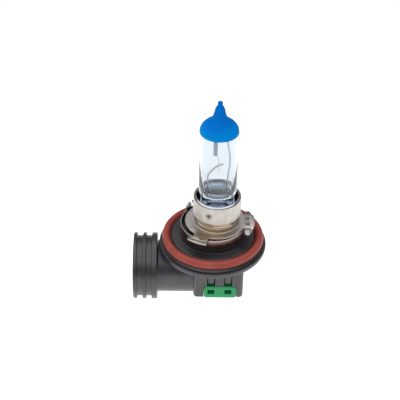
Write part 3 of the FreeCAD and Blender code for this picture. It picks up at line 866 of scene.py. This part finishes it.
# %% Seal ring
RIDGE_HEIGHT, RIDGE_WIDTH = 0.035, 0.09
SEAL_POINTS = 72
section = []
for i in range(SEAL_POINTS):
    a = math.tau * i / SEAL_POINTS
    out = SEAL_SECTION + RIDGE_HEIGHT * max(0.0, 1 - abs(math.sin(a)) / RIDGE_WIDTH)
    section.append((SEAL_R + out * math.cos(a), SEAL_Z + out * math.sin(a)))
seal = spun_outline(section, steps=200)
finish_piece(seal, "silicone_seal", red_silicone.material, ["seal_ring"])

# %% [markdown]
# ## Housing
# The housing is one moulding: a hub and thin flange, a block below them, and a tube that
# ends in a ribbed socket. Hub, tube and socket are spun, the block is a rounded bar, and
# they are joined and then carved for the socket, the lead chamber, the lock's pocket and
# the slits that free the two latch tongues.

# %% Hub, block and tube
FLOOR_Z = -5.1
SEAT_Z = -7.1
FLANGE_R = 15.6
FLANGE_LOW, FLANGE_TOP = -9.1, -7.7
SEAT_R = 12.2
HUB_R, HUB_TOP = 9.03, -2.6
hub_outline = rounded_outline([
    (0, FLANGE_LOW, 0), (FLANGE_R, FLANGE_LOW, 0.3), (FLANGE_R, FLANGE_TOP, 0.25),
    (FLANGE_R - 1.0, FLANGE_TOP, 0.2), (FLANGE_R - 1.5, SEAT_Z, 0.12), (SEAT_R, SEAT_Z, 0.1),
    (SEAT_R, FLOOR_Z, 0.2), (HUB_R + 0.4, FLOOR_Z, 0.15), (HUB_R + 0.4, BAND_LOW, 0.05),
    (HUB_R, BAND_LOW, 0.05), (HUB_R, HUB_TOP, 0.15), (0, HUB_TOP, 0),
])
hub = spun_outline(hub_outline, steps=200)
BLOCK_LOW = (-5.55, -8.9, -22.5)
BLOCK_HIGH = (9.1, 8.9, -8.5)
block = rounded_bar(BLOCK_LOW, BLOCK_HIGH, upright=1.2)
under = [e for e in block.edges if all(abs(v.co.z - BLOCK_LOW[2]) < 1e-3 for v in e.verts)]
rounded_edges(block, under, 0.9, segments=5)
SOCKET_Z = -17.5
MOUTH_X = -23.25
SOCKET_R = 9.9
TUBE_R = 7.65
TUBE_END = 3.0
GROOVE_R = SOCKET_R - 0.85
shroud_outline = rounded_outline([
    (0, MOUTH_X, 0), (SOCKET_R, MOUTH_X, 0.22), (SOCKET_R, MOUTH_X + 1.0, 0.12),
    (GROOVE_R, MOUTH_X + 1.0, 0.12), (GROOVE_R, MOUTH_X + 2.75, 0.12), (SOCKET_R, MOUTH_X + 2.75, 0.12),
    (SOCKET_R, MOUTH_X + 3.75, 0.12), (GROOVE_R, MOUTH_X + 3.75, 0.12), (GROOVE_R, MOUTH_X + 5.4, 0.12),
    (SOCKET_R, MOUTH_X + 5.4, 0.12), (SOCKET_R, MOUTH_X + 7.0, 0.2), (TUBE_R, MOUTH_X + 7.0, 0.5),
    (TUBE_R, TUBE_END, 2.5), (0, TUBE_END, 0),
])
shroud = spun_outline(shroud_outline, steps=180, axis="X", centre=(0, 0, SOCKET_Z))
housing = joined(hub, [block, shroud])
print("housing faces before carving", len(housing.faces))


# %% Carving the housing
def socket_bar(x0, x1, half_y, half_z, corner):
    """A bar along the socket's axis with four rounded corners."""
    low = (x0, -half_y, SOCKET_Z - half_z)
    high = (x1, half_y, SOCKET_Z + half_z)
    return rounded_bar(low, high, upright=corner, axis="X")


LATCH_XS = [-0.36, 4.64]
LATCH_HALF = 1.18
LATCH_TOP = -10.1
LOCK_LOW = (-2.5, -9.02, -22.15)
LOCK_HIGH = (7.15, -5.1, -17.95)
FACE_Y = BLOCK_LOW[1]
LOCK_GAP = 0.06
pocket_low = (LOCK_LOW[0] - LOCK_GAP, FACE_Y - 1, -24.0)
pocket_high = (LOCK_HIGH[0] + LOCK_GAP, -5.0, LOCK_HIGH[2] + LOCK_GAP)
cutters = [
    socket_bar(MOUTH_X - 1, -9.0, 6.6, 4.8, 3.2),
    socket_bar(MOUTH_X - 1, MOUTH_X + 5.4, 7.6, 5.9, 4.0),
    rounded_bar((-4.3, -5.0, -21.2), (7.4, 5.0, -9.1), upright=0.5),
    spun_outline([(0, -9.6), (5.2, -9.6), (5.2, 0), (0, 0)], steps=96, centre=(BURNER_X, 0, 0)),
    rounded_bar(pocket_low, pocket_high, upright=0.8, axis="Y"),
]
for x in LATCH_XS:
    low = (x - LATCH_HALF, FACE_Y - 1, LOCK_HIGH[2] - 0.5)
    high = (x + LATCH_HALF, FACE_Y + 1.5, LATCH_TOP)
    cutters.append(rounded_bar(low, high))
housing = carved(housing, cutters)
SLIT = 0.3
tongues = []
for x in LATCH_XS:
    low = (x - LATCH_HALF + SLIT, FACE_Y + 0.22, LOCK_HIGH[2] + 0.95)
    high = (x + LATCH_HALF - SLIT, FACE_Y + 1.7, LATCH_TOP + 0.1)
    tongues.append(rounded_bar(low, high, edge=0.12))
housing = joined(housing, tongues)
finish_piece(housing, "moulded_housing", black_plastic.material, ["base_housing"])

# %% [markdown]
# ## Terminal lock
# A small green moulding with well-rounded ends and two square windows through which the
# locked terminals can be seen. It rides on its own body, because it slides out.

# %% Terminal lock
WINDOW_HALF = 1.0
WINDOW_LOW, WINDOW_TOP = -20.8, -19.2
lock = rounded_bar(LOCK_LOW, LOCK_HIGH, upright=0.9, axis="Y")
soften(lock, 0.12, over_deg=60)
windows = []
for x in LATCH_XS:
    low = (x - WINDOW_HALF, LOCK_LOW[1] - 1, WINDOW_LOW)
    high = (x + WINDOW_HALF, LOCK_HIGH[1] + 1, WINDOW_TOP)
    windows.append(rounded_bar(low, high, upright=0.15, axis="Y"))
lock = carved(lock, windows)
finish_piece(lock, "green_lock", green_plastic.material, ["terminal_lock"], body=LOCK)

# %% [markdown]
# ## CAD pieces that stay
# The hidden and simple pieces keep their CAD shape and only get their finish.

# %% Finishes of the kept pieces
KEPT = {
    "seal_foil_short": molybdenum, "seal_foil_long": molybdenum,
    "lead_pin_short": molybdenum, "lead_pin_long": molybdenum,
    "pinch_clip": clip_steel.material, "lead_spacer": white_insulator.material,
    "base_potting": potting.material,
    "lead_sleeve_short": nickel_with_painted_light.material, "lead_sleeve_long": nickel_with_painted_light.material,
    "terminal_short": tinned_brass.material, "terminal_long": tinned_brass.material,
}
for node, material in KEPT.items():
    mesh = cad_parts[node].data
    mesh.materials.clear()
    mesh.materials.append(material)
print("kept", len(KEPT), "CAD pieces")

# %% [markdown]
# ## Floor, light and camera
# The bulb stands on a white light table: an opal sheet lit from below, the usual bench for
# small glass and metal parts, because it gives no hard shadow. One wide sun overhead is
# the softbox. The table is small and the room round it dim, so edges and mirrors get
# dark lines too. Only mirrors see the dim room: a Light Path node tells camera rays and
# rays that pass through glass apart, and for those the room is white like the table.

# %% Floor
TABLE_HALF = 0.17
floor_mesh = bpy.data.meshes.new("floor")
floor_bm = bmesh.new()
bmesh.ops.create_grid(floor_bm, x_segments=1, y_segments=1, size=TABLE_HALF)
bmesh.ops.translate(floor_bm, vec=(0, 0, cad_box[0][2] - 0.0002), verts=floor_bm.verts)
floor_bm.to_mesh(floor_mesh)
floor_bm.free()
floor = bpy.data.objects.new("floor", floor_mesh)
bpy.context.scene.collection.objects.link(floor)
table = Finish("light_table")
table.give(
    base_color=(0.35, 0.35, 0.35, 1.0), roughness=0.8, specular_ior_level=0.0,
    emission_color=(1.0, 1.0, 1.0, 1.0), emission_strength=1.12,
)
floor_mesh.materials.append(table.material)
print("light table side", 2 * TABLE_HALF, "m")

# %% Light
DIM_ROOM = 0.25
world = bpy.data.worlds.new("studio")
bpy.context.scene.world = world
world.use_nodes = True
sky = world.node_tree.nodes["Background"]
room = Graph(world.node_tree)
to_camera = room.node("ShaderNodeLightPath", output="Is Camera Ray")
through_glass = room.node("ShaderNodeLightPath", output="Is Transmission Ray")
seen = room.node("ShaderNodeMath", {"operation": "MAXIMUM"}, {0: to_camera, 1: through_glass})
room.feed(sky.inputs["Strength"], room.spread(seen, 0.0, 1.0, DIM_ROOM, 1.0))
sky.inputs["Color"].default_value = (1.0, 1.0, 1.0, 1.0)


def soft_sun(name, way_down, spread_deg, strength):
    """A sun with a wide disc: even light of one direction with very soft shadows."""
    lamp = bpy.data.lights.new(name, "SUN")
    lamp.angle = math.radians(spread_deg)
    lamp.energy = strength
    holder = bpy.data.objects.new(name, lamp)
    holder.rotation_euler = Vector(way_down).to_track_quat("-Z", "Y").to_euler()
    bpy.context.scene.collection.objects.link(holder)


soft_sun("overhead", way_down=(0.12, 0.1, -1), spread_deg=95, strength=1.9)
print("room level", DIM_ROOM)

# %% Camera
ELEVATION, AZIMUTH, ROLL = math.radians(36.88), math.radians(-0.87), math.radians(1.13)
CAMERA_AT = Vector((-7.65, -244.41, 190.45)) * MM
back = Vector((
    math.sin(AZIMUTH) * math.cos(ELEVATION), -math.cos(AZIMUTH) * math.cos(ELEVATION), math.sin(ELEVATION),
))
right = Vector((math.cos(AZIMUTH), math.sin(AZIMUTH), 0))
up = back.cross(right)
across = right * math.cos(ROLL) + up * math.sin(ROLL)
upward = up * math.cos(ROLL) - right * math.sin(ROLL)
lens = bpy.data.cameras.new("camera")
lens.sensor_width = 36.0
lens.lens = 96.3
lens.clip_start = 0.01
camera = bpy.data.objects.new("camera", lens)
camera.matrix_world = Matrix.Translation(CAMERA_AT) @ Matrix((across, upward, back)).transposed().to_4x4()
bpy.context.scene.collection.objects.link(camera)
bpy.context.scene.camera = camera
bpy.context.scene.view_settings.view_transform = "Standard"
print("camera looks along", [round(-v, 3) for v in back])
